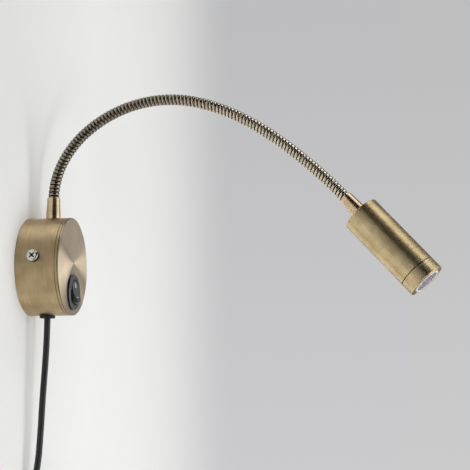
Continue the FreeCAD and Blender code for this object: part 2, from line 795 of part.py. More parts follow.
def biarc(start, heading, end, end_heading):
    """Two arcs that leave and arrive along given headings, as (start, middle, end) points."""
    chord = end - start
    both = heading + end_heading
    lead = both.dot(chord)
    room = 2 * (1 - heading.dot(end_heading))
    size = (math.sqrt(lead ** 2 + room * chord.dot(chord)) - lead) / room
    near, far = start + heading * size, end - end_heading * size
    joint = (near + far) / 2
    halves = []
    for a, corner, b in ((start, near, joint), (joint, far, end)):
        chord_middle = (a + b) / 2
        inward = chord_middle - corner
        half_turn = math.atan2(inward.Length, (b - a).Length / 2)
        radius = (b - a).Length / 2 / math.sin(half_turn)
        middle = chord_middle - inward.normalize() * radius * (1 - math.cos(half_turn))
        halves.append((a, middle, b))
    return halves


def cord_coil():
    """The cord's spare length: one unbroken tube in four layers of flat turns, and its tail."""
    total = coil_layers * layer_turns + (coil_layers - 1) * climb_turns
    steps = round(total * 4)
    stops = [total * n / steps for n in range(steps + 1)]
    edges = [Part.LineSegment(coil_top, coil_start).toShape()]
    for a, b in zip(stops, stops[1:]):
        for arc in biarc(coil_point(a), coil_heading(a, total),
                         coil_point(b), coil_heading(b, total)):
            edges.append(Part.Arc(*arc).toShape())
    end = coil_point(total)
    edges.append(Part.LineSegment(end, end - Z * coil_end_straight).toShape())
    path = Part.Wire(edges)
    section = Part.Wire(Part.makeCircle(cord_d / 2, coil_top, -Z))
    tube = path.makePipeShell([section], True, False)
    return tube, path.Length, total


def least_coil_gap(total):
    """The smallest gap between the coil's turns, measured on points of its axis."""
    count = round(total * 60)
    points = [coil_point(total * n / count) for n in range(count + 1)]
    reach = 30
    gap = min((points[a] - points[b]).Length
              for a in range(0, count + 1) for b in range(a + reach, count + 1))
    return gap - cord_d


def cord_tie():
    """The flat strap round the coil's turns, at the coil's top."""
    middle = coil_middle
    bulge = coil_pitch * climb_turns / 4
    low = coil_inner_r - bulge - cord_d / 2 - tie_gap
    high = coil_outer_r + bulge + cord_d / 2 + tie_gap
    front = middle.y - coil_pitch * (coil_layers - 1) - cord_d / 2 - tie_gap
    back = middle.y + cord_d / 2 + tie_gap / 2
    half = tie_wide / 2
    outer = block((-half, half), (front - tie_t, back + tie_t / 2), (low - tie_t, high + tie_t))
    outer = outer.makeFillet(2 * tie_t, [e for e in outer.Edges if e.BoundBox.XLength > 1])
    strap = outer.cut(block((-half - 1, half + 1), (front, back), (low, high)))
    strap.translate(Vector(middle.x, 0, middle.z))
    return strap


def plug_outline(wide, thick, z):
    """A flat eight-cornered outline of the plug, at one height."""
    cut = thick * 0.35
    x, y = wide / 2, thick / 2
    corners = [(x, y - cut), (x - cut, y), (cut - x, y), (-x, y - cut),
               (-x, cut - y), (cut - x, -y), (x - cut, -y), (x, cut - y)]
    points = [Vector(a, b, z) for a, b in corners]
    return Part.makePolygon(points + points[:1])


def plug_body():
    """The moulded flat plug with its tapered strain relief; z runs from the cord to the pins."""
    relief = Part.makeCone(plug_relief_tip_d / 2, plug_relief_d / 2, plug_relief_long)
    shoulder = plug_relief_long
    neck_w = plug_relief_d + 2 * plug_front
    body = Part.makeLoft([plug_outline(neck_w, plug_relief_d, shoulder - plug_front),
                          plug_outline(plug_wide, plug_thick, shoulder + plug_shoulder),
                          plug_outline(plug_wide, plug_thick, shoulder + plug_long)], True, True)
    body = fuse([relief, body])
    face = shoulder + plug_long
    for side in (-1, 1):
        body = body.cut(rod(sleeve_core_d / 2, face - plug_long / 2, face + 1, side * pin_gap / 2))
    return body


def plug_pins():
    """The two round pins: slimmer under their sleeves, full size at the tip."""
    face = plug_relief_long + plug_long
    pins = []
    for side in (-1, 1):
        x = side * pin_gap / 2
        tip = rod(pin_d / 2, face + sleeve_long, face + pin_long, x)
        tip = round_rims(tip, pin_d / 4, face + pin_long)
        pins.append(fuse([tip, rod(sleeve_core_d / 2, face - plug_long / 2, face + sleeve_long, x)]))
    return Part.makeCompound(pins)


def pin_sleeves():
    """The insulating sleeves on the pins' inner halves."""
    face = plug_relief_long + plug_long
    sleeves = []
    for side in (-1, 1):
        x = side * pin_gap / 2
        sleeve = rod(sleeve_d / 2, face, face + sleeve_long, x)
        sleeves.append(sleeve.cut(rod(sleeve_core_d / 2, face, face + sleeve_long, x)))
    return Part.makeCompound(sleeves)


# ---------------------------------------------------------------- the lamp
def build_base():
    save("base_cover", base_cover(), drum)
    save("wall_bracket", wall_bracket(), drum)
    save("cover_screws", cover_screws(), drum)
    save("led_driver", led_driver(), drum)
    save("switch_housing", switch_housing(), switch)
    save("switch_rocker", switch_rocker(), switch)
    save("switch_plunger", switch_plunger(), switch)
    save("plunger_spring", plunger_spring(), switch)
    save("contact_lever", contact_lever(), switch)
    save("switch_terminals", switch_terminals(), switch)
    save("base_ferrule", ferrule(), neck_foot)
    save("neck_saddle", neck_saddle(), drum)
    save("base_nut", nut(), Placement(Vector(0, -neck_out, nut_top), Rotation()))
    save("internal_leads", internal_leads(), drum)


def build_arm_and_head():
    frames = arm_frames()
    for n in range(len(arm_bend_angles)):
        save(f"hose_{n + 1:02d}", hose_section(n), frames[n])
        save(f"arm_lead_{n + 1:02d}", arm_lead(n), frames[n])
    head = frames[-1] * Placement(Z * ferrule_long, Rotation())
    backwards = head * Placement(ORIGIN, Rotation(X, 180))
    save("head_ferrule", ferrule(), backwards)
    inside = backwards * Placement(-Z * head_back, Rotation())
    save("head_washer", lock_washer(), inside)
    save("head_nut", nut(), inside * Placement(-Z * washer_t, Rotation()))
    for piece in (head_tube, head_leads, heat_sink, led_board, led_chip, board_screws, lens_holder,
                  lens, lens_gasket, bezel_ring):
        save(piece.__name__, piece(), head)
    return frames


def build_cord():
    tube, length, radii = routed_tube(cord_route, cord_d)
    coil, coil_length, total = cord_coil()
    section = math.pi * cord_d ** 2 / 4
    print("cord radii", [round(r, 1) for r in radii])
    print("cord volume over section x length", round(tube.Volume / section / length, 4),
          round(coil.Volume / section / coil_length, 4))
    print("cord length", round(length + coil_length, 1), "least gap", round(least_coil_gap(total), 2))
    save("mains_cord", tube)
    save("mains_cord_coil", coil)
    save("cord_tie", cord_tie())
    save("cable_bush", cable_bush(), drum)
    save("cord_inner_end", cord_inner_end(), drum)
    save("cord_stop", cord_stop(), drum)
    tail = coil_point(total) - Z * coil_end_straight
    plug = Placement(tail, Rotation(X, 180))
    save("plug_body", plug_body(), plug)
    save("plug_pins", plug_pins(), plug)
    save("plug_pin_sleeves", pin_sleeves(), plug)


os.makedirs("parts", exist_ok=True)
build_base()
frames = build_arm_and_head()
build_cord()
for number, frame in enumerate(frames[1:-1], 1):
    print("bend", number, [round(v, 3) for v in frame.Base],
          [round(v, 5) for v in frame.Rotation.multVec(X)],
          [round(v, 5) for v in frame.Rotation.multVec(Y)])
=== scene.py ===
import math

import bmesh
import bpy
from mathutils import Matrix, Vector


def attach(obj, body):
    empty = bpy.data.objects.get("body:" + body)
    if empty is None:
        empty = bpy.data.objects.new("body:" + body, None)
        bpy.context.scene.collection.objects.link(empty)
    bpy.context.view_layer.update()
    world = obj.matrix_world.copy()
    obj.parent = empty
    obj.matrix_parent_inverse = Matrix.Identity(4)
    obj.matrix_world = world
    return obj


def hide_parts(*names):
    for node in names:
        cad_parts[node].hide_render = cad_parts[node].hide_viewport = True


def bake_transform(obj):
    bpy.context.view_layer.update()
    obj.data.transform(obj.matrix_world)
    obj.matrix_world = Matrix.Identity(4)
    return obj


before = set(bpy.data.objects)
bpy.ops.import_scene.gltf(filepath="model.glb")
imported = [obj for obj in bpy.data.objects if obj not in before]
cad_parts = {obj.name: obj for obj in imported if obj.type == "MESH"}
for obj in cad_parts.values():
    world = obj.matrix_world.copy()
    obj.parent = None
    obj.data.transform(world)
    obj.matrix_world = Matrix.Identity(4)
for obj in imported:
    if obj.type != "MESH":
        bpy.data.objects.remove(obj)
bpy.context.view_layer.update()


# ---------------------------------------------------------------- camera
# The photograph's view, from the lamp's left, low and near the wall. The place, the turn and the
# lens were worked out from the drum's two rims and the head's outline.
camera_place = Vector((-0.717853, -0.250331, -0.092364))
camera_yaw = math.radians(8.8905)
camera_pitch = math.radians(8.6937)
camera_lens_mm = 86.13

ahead = Vector((math.cos(camera_yaw) * math.cos(camera_pitch),
                math.sin(camera_yaw) * math.cos(camera_pitch), math.sin(camera_pitch)))
camera = bpy.data.objects.new("camera", bpy.data.cameras.new("camera"))
camera.data.sensor_width = 36
camera.data.lens = camera_lens_mm
camera.data.clip_start = 0.01
camera.location = camera_place
camera.rotation_euler = ahead.to_track_quat("-Z", "Y").to_euler()
bpy.context.scene.collection.objects.link(camera)
bpy.context.scene.camera = camera
bpy.context.scene.view_settings.view_transform = "Standard"


# ---------------------------------------------------------------- wall, floor and light
# Matt white wall behind the lamp, a pale floor and a pale far end. Soft boxes light it in front
# and overhead, and a small one low at the left that the metal doesn't mirror. Between them the
# studio is dark, and that is what the polished parts show as dark stripes.
MM = 0.001


def tone(code):
    """An sRGB hex colour as linear RGBA."""
    parts = [int(code[n:n + 2], 16) / 255 for n in (1, 3, 5)]
    return [c / 12.92 if c <= 0.04045 else ((c + 0.055) / 1.055) ** 2.4 for c in parts] + [1.0]


def add_node(tree, kind, inputs=None, **settings):
    """Adds one node. Settings are its properties; inputs are values or other nodes' sockets."""
    made = tree.nodes.new(kind)
    for name, value in settings.items():
        setattr(made, name, value)
    for name, value in (inputs or {}).items():
        if isinstance(value, bpy.types.NodeSocket):
            tree.links.new(value, made.inputs[name])
        else:
            made.inputs[name].default_value = value
    return made


def new_material(name):
    """An empty material's node tree and its output node."""
    material = bpy.data.materials.new(name)
    material.use_nodes = True
    material.node_tree.nodes.clear()
    output = add_node(material.node_tree, "ShaderNodeOutputMaterial")
    return material, material.node_tree, output


def mesh_object(name, bm, smooth=True):
    """A piece from a bmesh, which is used up."""
    mesh = bpy.data.meshes.new(name)
    bm.to_mesh(mesh)
    bm.free()
    for face in mesh.polygons:
        face.use_smooth = smooth
    made = bpy.data.objects.new(name, mesh)
    bpy.context.scene.collection.objects.link(made)
    return made


def stage_sheet(name, corners, material):
    """A flat sheet of the studio, facing the side from which its corners run anticlockwise."""
    bm = bmesh.new()
    bm.faces.new([bm.verts.new(c) for c in corners])
    sheet = mesh_object(name, bm, smooth=False)
    sheet.data.materials.append(material)
    return sheet


def paint(name, near, far, start, reach, wall=False):
    """Matt paint whose tone runs from near to far along X, darker far off as painted shade. Far
    off, the camera sees its plain colour, as if lit like the near part. A wall is painted a little
    greyer at its near end and towards the top, as painted shade, and is clear from behind."""
    material, tree, output = new_material(name)
    place = add_node(tree, "ShaderNodeTexCoord").outputs["Object"]
    parts = add_node(tree, "ShaderNodeSeparateXYZ", {"Vector": place})
    along = parts.outputs["X"]
    share = add_node(tree, "ShaderNodeMapRange",
                     {"Value": along, "From Min": start, "From Max": reach},
                     interpolation_type="SMOOTHERSTEP").outputs["Result"]
    colour = add_node(tree, "ShaderNodeMix", {"Factor": share, "A": tone(near), "B": tone(far)},
                      data_type="RGBA").outputs["Result"]
    if wall:
        # Painted shade: greyer at the near end and towards the top.
        near_end = add_node(tree, "ShaderNodeMapRange",
                            {"Value": along, "From Min": -0.08, "From Max": 0.14,
                             "To Min": 0.88, "To Max": 1.0}).outputs["Result"]
        # Height over distance, from about where the camera stands.
        stand_x, stand_z = -0.72, -0.09
        rise = add_node(tree, "ShaderNodeMath", {0: parts.outputs["Z"], 1: -stand_z})
        out = add_node(tree, "ShaderNodeMath", {0: along, 1: -stand_x})
        slope = add_node(tree, "ShaderNodeMath", {0: rise.outputs["Value"],
                                                  1: out.outputs["Value"]}, operation="DIVIDE")
        fall = add_node(tree, "ShaderNodeMapRange", {"Value": share, "To Min": 0.07,
                                                     "To Max": 0.15}).outputs["Result"]
        high_up = add_node(tree, "ShaderNodeMapRange",
                           {"Value": slope.outputs["Value"], "From Min": -0.05, "From Max": 0.35,
                            "To Min": 0.0, "To Max": fall}).outputs["Result"]
        top_tone = add_node(tree, "ShaderNodeMath", {0: 1.03, 1: high_up}, operation="SUBTRACT")
        grey = add_node(tree, "ShaderNodeMath", {0: near_end, 1: top_tone.outputs["Value"]},
                        operation="MULTIPLY")
        colour = add_node(tree, "ShaderNodeVectorMath",
                          {0: colour, "Scale": grey.outputs["Value"]},
                          operation="SCALE").outputs["Vector"]
    matt = add_node(tree, "ShaderNodeBsdfDiffuse", {"Color": colour}).outputs["BSDF"]
    plain = add_node(tree, "ShaderNodeEmission", {"Color": colour}).outputs["Emission"]
    camera_ray = add_node(tree, "ShaderNodeLightPath").outputs["Is Camera Ray"]
    plain_share = add_node(tree, "ShaderNodeMath", {0: share, 1: camera_ray}, operation="MULTIPLY")
    surface = add_node(tree, "ShaderNodeMixShader", {"Fac": plain_share.outputs["Value"], 1: matt,
                                                     2: plain}).outputs["Shader"]
    if wall:
        behind = add_node(tree, "ShaderNodeNewGeometry").outputs["Backfacing"]
        clear = add_node(tree, "ShaderNodeBsdfTransparent").outputs["BSDF"]
        surface = add_node(tree, "ShaderNodeMixShader", {"Fac": behind, 1: surface,
                                                         2: clear}).outputs["Shader"]
    tree.links.new(surface, output.inputs["Surface"])
    return material


wall_gap = 0.0003                  # behind the drum's rim
wall_left, wall_right, wall_top = -4, 90, 40
floor_level, floor_reach = -0.9, 9
wall_paint = paint("wall_matt_paint", "#F3F3F2", "#C8C8CA", 0.22, 0.9, wall=True)
floor_paint = paint("floor_matt_paint", "#E2E2E0", "#D8D8D6", 0.0, 4.0)
stage_sheet("wall_board", [(wall_left, wall_gap, floor_level), (wall_right, wall_gap, floor_level),
                           (wall_right, wall_gap, wall_top), (wall_left, wall_gap, wall_top)],
            wall_paint)
stage_sheet("floor", [(floor_reach * x, floor_reach * y, floor_level)
                      for x, y in ((-1, -1), (1, -1), (1, 1), (-1, 1))], floor_paint)

# The camera sees the plain far end. Reflections see a room that is dark at the left and pale at
# the right, under a dark ceiling.
room_light = 0.30
world = bpy.data.worlds.new("studio")
world.use_nodes = True
studio = world.node_tree
studio.nodes.clear()
rays = add_node(studio, "ShaderNodeLightPath")
seen = add_node(studio, "ShaderNodeMath", {0: rays.outputs["Is Camera Ray"],
                                           1: rays.outputs["Is Transmission Ray"]},
                operation="MAXIMUM")
towards = add_node(studio, "ShaderNodeTexCoord").outputs["Generated"]
heading = add_node(studio, "ShaderNodeSeparateXYZ", {"Vector": towards})
far_side = add_node(studio, "ShaderNodeMapRange",
                    {"Value": heading.outputs["X"], "From Min": 0.0, "From Max": 0.8,
                     "To Min": 0.015, "To Max": 0.6}, interpolation_type="SMOOTHSTEP")
ceiling = add_node(studio, "ShaderNodeMapRange",
                   {"Value": heading.outputs["Z"], "From Min": 0.05, "From Max": 0.5,
                    "To Min": 1.0, "To Max": 0.15}, interpolation_type="SMOOTHSTEP")
reflected = add_node(studio, "ShaderNodeMath", {0: far_side.outputs["Result"],
                                                1: ceiling.outputs["Result"]},
                     operation="MULTIPLY")
room = add_node(studio, "ShaderNodeMix", {"Factor": rays.outputs["Is Glossy Ray"],
                                          "A": room_light, "B": reflected.outputs["Value"]})
far_end = add_node(studio, "ShaderNodeMapRange",
                   {"Value": heading.outputs["Z"], "From Min": -0.05, "From Max": 0.33,
                    "To Min": 0.597, "To Max": 0.51})
strength = add_node(studio, "ShaderNodeMix",
                    {"Factor": seen.outputs["Value"], "A": room.outputs["Result"],
                     "B": far_end.outputs["Result"]})
backdrop = add_node(studio, "ShaderNodeBackground",
                    {"Color": (1.0, 1.0, 1.0, 1.0), "Strength": strength.outputs["Result"]})
add_node(studio, "ShaderNodeOutputWorld", {"Surface": backdrop.outputs["Background"]})
bpy.context.scene.world = world


def soft_box(name, place, aim, wide, high, power):
    """A rectangular soft box at a place, aimed at a point."""
    light = bpy.data.lights.new(name, "AREA")
    light.shape = "RECTANGLE"
    light.size = wide
    light.size_y = high
    light.energy = power
    lamp = bpy.data.objects.new(name, light)
    lamp.location = place
    lamp.rotation_euler = (Vector(aim) - Vector(place)).to_track_quat("-Z", "Y").to_euler()
    bpy.context.scene.collection.objects.link(lamp)
    return lamp


soft_box("front_box", (0.15, -1.5, -0.1), (0.0, -0.1, 0.05), 1.5, 1.2, 11)
soft_box("top_box", (0.05, -0.75, 1.5), (0.0, -0.15, 0.0), 1.2, 0.9, 6)
low_key = soft_box("low_key", (-0.95, -1.25, -0.35), (0.0, -0.05, 0.0), 0.45, 0.45, 6)
low_key.visible_glossy = False


def flag(name, corners):
    """A black cloth that only reflections see."""
    material, tree, output = new_material(name + "_cloth")
    black = add_node(tree, "ShaderNodeBsdfDiffuse", {"Color": tone("#050504")})
    tree.links.new(black.outputs["BSDF"], output.inputs["Surface"])
    cloth = stage_sheet(name, corners, material)
    cloth.visible_camera = False
    cloth.visible_diffuse = False
    cloth.visible_shadow = False


flag_left, flag_top, before_wall = -2.2, 2.6, -0.001
flag("dark_behind_camera", [(flag_left, 0.0, -0.3), (flag_left, 0.0, flag_top),
                            (-1.5, -1.6, flag_top), (-1.5, -1.6, -0.3)])
flag("dark_floor", [(flag_left, before_wall, -0.89), (flag_left, -0.6, -0.89),
                    (-0.3, -0.6, -0.89), (-0.3, before_wall, -0.89)])
flag("dark_wall_end", [(flag_left, before_wall, floor_level), (-0.55, before_wall, floor_level),
                       (-0.55, before_wall, flag_top), (flag_left, before_wall, flag_top)])
flag("dark_above_wall", [(flag_left, 0.0, 1.6), (2.0, 0.0, 1.6), (2.0, 0.0, 0.5),
                         (flag_left, 0.0, 0.5)])


# ---------------------------------------------------------------- mains cord
# Round two-core flex, 4.2 mm, in black PVC with a smooth satin jacket. It leaves the bush under
# the drum, hangs near the wall and ends in a tied coil of the length that isn't in use.
cord_d = 4.2 * MM
cord_route_mm = (
    (0.0, -12.0, -34.1),
    (0.0, -12.0, -47.0),
    (0.4, -11.2, -65.0),
    (0.0, -10.1, -87.0),
    (0.4, -9.2, -109.0),
    (-0.4, -8.4, -128.0),
    (-3.0, -6.9, -141.0),
    (-7.2, -4.6, -152.0),
    (-10.0, -3.2, -164.0),
    (-10.0, -3.2, -173.0),
)
coil_outer_r, coil_pitch = 29.6, 4.8
coil_layers, layer_turns, climb_turns = 4, 2.375, 0.5
coil_end_straight = 25.0
points_per_turn = 16

cord_points = [Vector(p) for p in cord_route_mm]
coil_start = cord_points[-1] - Vector((0, 0, cord_d / MM))
coil_middle = coil_start + Vector((coil_outer_r, 0, 0))
coil_inner_r = coil_outer_r - coil_pitch * layer_turns
coil_turns = coil_layers * layer_turns + (coil_layers - 1) * climb_turns


def coil_point(turns):
    """The coil's line after a number of turns: flat spirals, in and out, one layer on the next."""
    layer = min(int(turns // (layer_turns + climb_turns)), coil_layers - 1)
    inside = turns - layer * (layer_turns + climb_turns)
    inward = layer % 2 == 0
    rate = -coil_pitch if inward else coil_pitch
    radius = (coil_outer_r if inward else coil_inner_r) + rate * min(inside, layer_turns)
    rise = 0.0
    if inside > layer_turns:
        climb = (inside - layer_turns) / climb_turns
        radius += rate * climb_turns * (climb - climb ** 2)
        rise = coil_pitch * (climb - math.sin(2 * math.pi * climb) / (2 * math.pi))
    angle = math.pi + 2 * math.pi * turns
    return coil_middle + Vector((radius * math.cos(angle), -(layer * coil_pitch + rise),
                                 radius * math.sin(angle)))


steps = round(coil_turns * points_per_turn)
cord_points += [coil_point(coil_turns * n / steps) for n in range(steps + 1)]
cord_end = cord_points[-1] - Vector((0, 0, coil_end_straight))
cord_points += [cord_points[-1] - Vector((0, 0, coil_end_straight / 2)), cord_end]

curve = bpy.data.curves.new("mains_flex", "CURVE")
curve.dimensions = "3D"
line = curve.splines.new("NURBS")
line.points.add(len(cord_points) - 1)
for point, place in zip(line.points, cord_points):
    point.co = (*(place * MM), 1.0)
line.order_u = 3
line.use_endpoint_u = True
line.resolution_u = 4
curve.bevel_depth = cord_d / 2
curve.bevel_resolution = 5
curve.use_fill_caps = True
mains_flex = bpy.data.objects.new("mains_flex", curve)
bpy.context.scene.collection.objects.link(mains_flex)


def moulded(name, colour, roughness, grain_mm, depth_mm, shine=0.5):
    """Moulded plastic or rubber: a fine moulded grain that breaks the gloss a little."""
    material, tree, output = new_material(name)
    place = add_node(tree, "ShaderNodeTexCoord").outputs["Object"]
    grain = add_node(tree, "ShaderNodeTexNoise", {"Vector": place, "Scale": 1 / (grain_mm * MM),
                                                  "Detail": 2.0, "Roughness": 0.6})
    patchy = add_node(tree, "ShaderNodeTexNoise", {"Vector": place, "Scale": 90.0, "Detail": 3.0})
    rough = add_node(tree, "ShaderNodeMapRange", {"Value": patchy.outputs["Fac"],
                                                  "To Min": roughness - 0.07,
                                                  "To Max": roughness + 0.07})
    dark, pale = ([c * k for c in tone(colour)[:3]] + [1] for k in (0.8, 1.3))
    shade = add_node(tree, "ShaderNodeMix", {"Factor": patchy.outputs["Fac"], "A": dark, "B": pale},
                     data_type="RGBA")
    bump = add_node(tree, "ShaderNodeBump", {"Height": grain.outputs["Fac"], "Strength": 0.35,
                                             "Distance": depth_mm * MM})
    body = add_node(tree, "ShaderNodeBsdfPrincipled", {"Base Color": shade.outputs["Result"],
                                                       "Roughness": rough.outputs["Result"],
                                                       "Normal": bump.outputs["Normal"],
                                                       "IOR": 1.5, "Specular IOR Level": shine})
    tree.links.new(body.outputs["BSDF"], output.inputs["Surface"])
    return material


flex_pvc = moulded("flex_black_pvc", "#1B1B1E", 0.42, 0.35, 0.03)
mains_flex.data.materials.append(flex_pvc)
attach(mains_flex, "root")
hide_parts("mains_cord", "mains_cord_coil")


# ---------------------------------------------------------------- plug, pins and the coil's tie
# Flat two-pin plug moulded in black PVC on the flex, with a ribbed strain relief. Nickel-plated
# pins stand in sleeves. A hook-and-loop strap holds the coil's turns.
def soften(bm, angle):
    """Marks the edges that turn by more than an angle in degrees as sharp."""
    for edge in bm.edges:
        turn = edge.calc_face_angle(math.pi) if len(edge.link_faces) == 2 else math.pi
        edge.smooth = turn < math.radians(angle)


def carried(node, bevel_mm=0.0):
    """A CAD node's own shape with its triangles joined, its edges rounded and its faces smooth."""
    bm = bmesh.new()
    bm.from_mesh(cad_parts[node].data)
    bmesh.ops.remove_doubles(bm, verts=bm.verts, dist=1e-7)
    bmesh.ops.dissolve_limit(bm, angle_limit=math.radians(0.3), verts=bm.verts, edges=bm.edges)
    if not bevel_mm:
        soften(bm, 35)
    made = mesh_object(node + "_shown", bm)
    if bevel_mm:
        edge_round = made.modifiers.new("edge_round", "BEVEL")
        edge_round.width = bevel_mm * MM
        edge_round.segments = 2
        edge_round.limit_method = "ANGLE"
        edge_round.angle_limit = math.radians(35)
        edge_round.miter_outer = "MITER_ARC"
    made.modifiers.new("flat_faces", "WEIGHTED_NORMAL").keep_sharp = True
    return made


def fit(piece, material, body, slot, *nodes):
    """Gives a piece its material and body, and hides its CAD nodes. The slot is not used."""
    piece.data.materials.clear()
    piece.data.materials.append(material)
    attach(piece, body)
    if nodes:
        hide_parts(*nodes)
    return piece


def coat(node, material):
    """Gives a CAD node that stays a better material."""
    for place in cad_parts[node].material_slots:
        place.material = material


plug_pvc = moulded("plug_moulded_pvc", "#1C1C1E", 0.5, 0.6, 0.06)
tie_nylon = moulded("tie_black_nylon", "#18181A", 0.7, 0.5, 0.12)
plug = fit(carried("plug_body", 0.8), plug_pvc, "root", "plug_black", "plug_body")
sleeves = fit(carried("plug_pin_sleeves", 0.15), plug_pvc, "root", "plug_black", "plug_pin_sleeves")
tie = fit(carried("cord_tie", 0.3), tie_nylon, "root", "tie_black", "cord_tie")


# ---------------------------------------------------------------- drum
# The lamp's base on the wall: a cup spun from brass sheet, 65 mm across, brushed round and round
# and lacquered satin. Two fine turned lines run behind its flat face, painted dark as shade, and
# the face's upper half is painted darker as shade.
drum_frame = Matrix.Rotation(math.radians(90), 4, "X")         # z out from the wall
no_face = (1e3, 0.0)               # from a height that no piece reaches
no_line = (0.0, 0.0, 0.0)


def brushed_brass(name, frame_at, pale="#EDD7AD", deep="#C6A97F", rough=(0.42, 0.54),
                  line_mm=0.25, grain=0.95, relief=0.15, face=no_face, dark_line=no_line):
    """Satin brass brushed round an axis: fine lines that stretch each highlight across them.
    face: the height in mm from which it is an end face, and how far up its brushing is centred.
    A face is paler; its upper half is brushed finer and painted darker as shade, so that highlights
    stay in the lower half. dark_line: within its radius and between its two heights, all in mm, a
    turned line or gap is painted dark as shade."""
    material, tree, output = new_material(name)
    place = add_node(tree, "ShaderNodeTexCoord").outputs["Object"]
    own = add_node(tree, "ShaderNodeMapping",
                   {"Vector": place, "Location": frame_at.translation,
                    "Rotation": frame_at.to_euler()}, vector_type="TEXTURE").outputs["Vector"]
    height = add_node(tree, "ShaderNodeSeparateXYZ", {"Vector": own}).outputs["Z"]
    on_face = add_node(tree, "ShaderNodeMath", {0: height, 1: face[0] * MM},
                       operation="GREATER_THAN").outputs["Value"]
    off_centre = add_node(tree, "ShaderNodeVectorMath",
                          {0: (0.0, face[1] * MM, 0.0), "Scale": on_face}, operation="SCALE")
    centred = add_node(tree, "ShaderNodeVectorMath", {0: own, 1: off_centre.outputs["Vector"]},
                       operation="SUBTRACT")
    flat = add_node(tree, "ShaderNodeVectorMath",
                    {0: centred.outputs["Vector"], 1: (1.0, 1.0, 0.0)},
                    operation="MULTIPLY").outputs["Vector"]
    radius = add_node(tree, "ShaderNodeVectorMath", {0: flat}, operation="LENGTH").outputs["Value"]
    across = add_node(tree, "ShaderNodeMath", {0: radius, 1: height})
    parts = add_node(tree, "ShaderNodeSeparateXYZ", {"Vector": flat})
    spread = add_node(tree, "ShaderNodeCombineXYZ",
                      {"X": parts.outputs["X"], "Y": parts.outputs["Y"],
                       "Z": across.outputs["Value"]})
    lines = add_node(tree, "ShaderNodeVectorMath",
                     {0: spread.outputs["Vector"], 1: (60.0, 60.0, 1 / (line_mm * MM))},
                     operation="MULTIPLY")
    streak = add_node(tree, "ShaderNodeTexNoise",
                      {"Vector": lines.outputs["Vector"], "Scale": 1.0, "Detail": 3.0,
                       "Roughness": 0.65}).outputs["Fac"]
    cloud = add_node(tree, "ShaderNodeTexNoise", {"Vector": place, "Scale": 70.0, "Detail": 2.0})
    both = add_node(tree, "ShaderNodeMath", {0: streak, 1: cloud.outputs["Fac"]})
    share = add_node(tree, "ShaderNodeMapRange",
                     {"Value": both.outputs["Value"], "From Min": 0.7, "From Max": 1.3})
    colour = add_node(tree, "ShaderNodeMix",
                      {"Factor": share.outputs["Result"], "A": tone(deep), "B": tone(pale)},
                      data_type="RGBA").outputs["Result"]
    roughness = add_node(tree, "ShaderNodeMapRange",
                         {"Value": streak, "From Min": 0.3, "From Max": 0.7,
                          "To Min": rough[0], "To Max": rough[1]}).outputs["Result"]
    if face != no_face:
        face_share = add_node(tree, "ShaderNodeMath", {0: on_face, 1: 0.45}, operation="MULTIPLY")
        colour = add_node(tree, "ShaderNodeMix",
                          {"Factor": face_share.outputs["Value"], "A": colour,
                           "B": tone("#E9E2D8")}, data_type="RGBA").outputs["Result"]
        rise = add_node(tree, "ShaderNodeMath", {0: parts.outputs["Y"], 1: radius},
                        operation="DIVIDE")
        upper = add_node(tree, "ShaderNodeMapRange",
                         {"Value": rise.outputs["Value"], "From Min": -0.1, "From Max": 0.7},
                         interpolation_type="SMOOTHSTEP")
        finer_and_painted_shade = add_node(tree, "ShaderNodeMath", {0: upper.outputs["Result"], 1: on_face},
                         operation="MULTIPLY").outputs["Value"]
        roughness = add_node(tree, "ShaderNodeMix",
                             {"Factor": finer_and_painted_shade, "A": roughness, "B": 0.2}).outputs["Result"]
        # Painted shade: the face's upper half is darkened, and its roughness is lower.
        colour = add_node(tree, "ShaderNodeMix",
                          {"Factor": finer_and_painted_shade, "A": colour, "B": tone("#E0D7D2")},
                          data_type="RGBA", blend_type="MULTIPLY").outputs["Result"]
    # Painted shade: within the line's radius and between its heights the colour is darkened.
    if dark_line != no_line:
        inside = add_node(tree, "ShaderNodeMath", {0: radius, 1: dark_line[0] * MM},
                          operation="LESS_THAN")
        above = add_node(tree, "ShaderNodeMath", {0: height, 1: dark_line[1] * MM},
                         operation="GREATER_THAN")
        below = add_node(tree, "ShaderNodeMath", {0: height, 1: dark_line[2] * MM},
                         operation="LESS_THAN")
        band = add_node(tree, "ShaderNodeMath",
                        {0: above.outputs["Value"], 1: below.outputs["Value"]},
                        operation="MULTIPLY")
        line = add_node(tree, "ShaderNodeMath",
                        {0: band.outputs["Value"], 1: inside.outputs["Value"]},
                        operation="MULTIPLY")
        colour = add_node(tree, "ShaderNodeMix",
                          {"Factor": line.outputs["Value"], "A": colour, "B": tone("#66543A")},
                          data_type="RGBA").outputs["Result"]
    bump = add_node(tree, "ShaderNodeBump", {"Height": streak, "Strength": relief,
                                             "Distance": 0.02 * MM})
    round_own = add_node(tree, "ShaderNodeVectorMath", {0: (0.0, 0.0, 1.0), 1: flat},
                         operation="CROSS_PRODUCT")
    unit = add_node(tree, "ShaderNodeVectorMath", {0: round_own.outputs["Vector"]},
                    operation="NORMALIZE")
    turned_back = add_node(tree, "ShaderNodeVectorRotate",
                           {"Vector": unit.outputs["Vector"], "Rotation": frame_at.to_euler()},
                           rotation_type="EULER_XYZ")
    tangent = add_node(tree, "ShaderNodeVectorTransform",
                       {"Vector": turned_back.outputs["Vector"]},
                       vector_type="VECTOR", convert_from="OBJECT", convert_to="WORLD")
    brass = add_node(tree, "ShaderNodeBsdfPrincipled",
                     {"Base Color": colour, "Metallic": 1.0,
                      "Roughness": roughness, "Normal": bump.outputs["Normal"],
                      "Anisotropic": grain, "Anisotropic Rotation": 0.25,
                      "Tangent": tangent.outputs["Vector"]})
    tree.links.new(brass.outputs["BSDF"], output.inputs["Surface"])
    return material


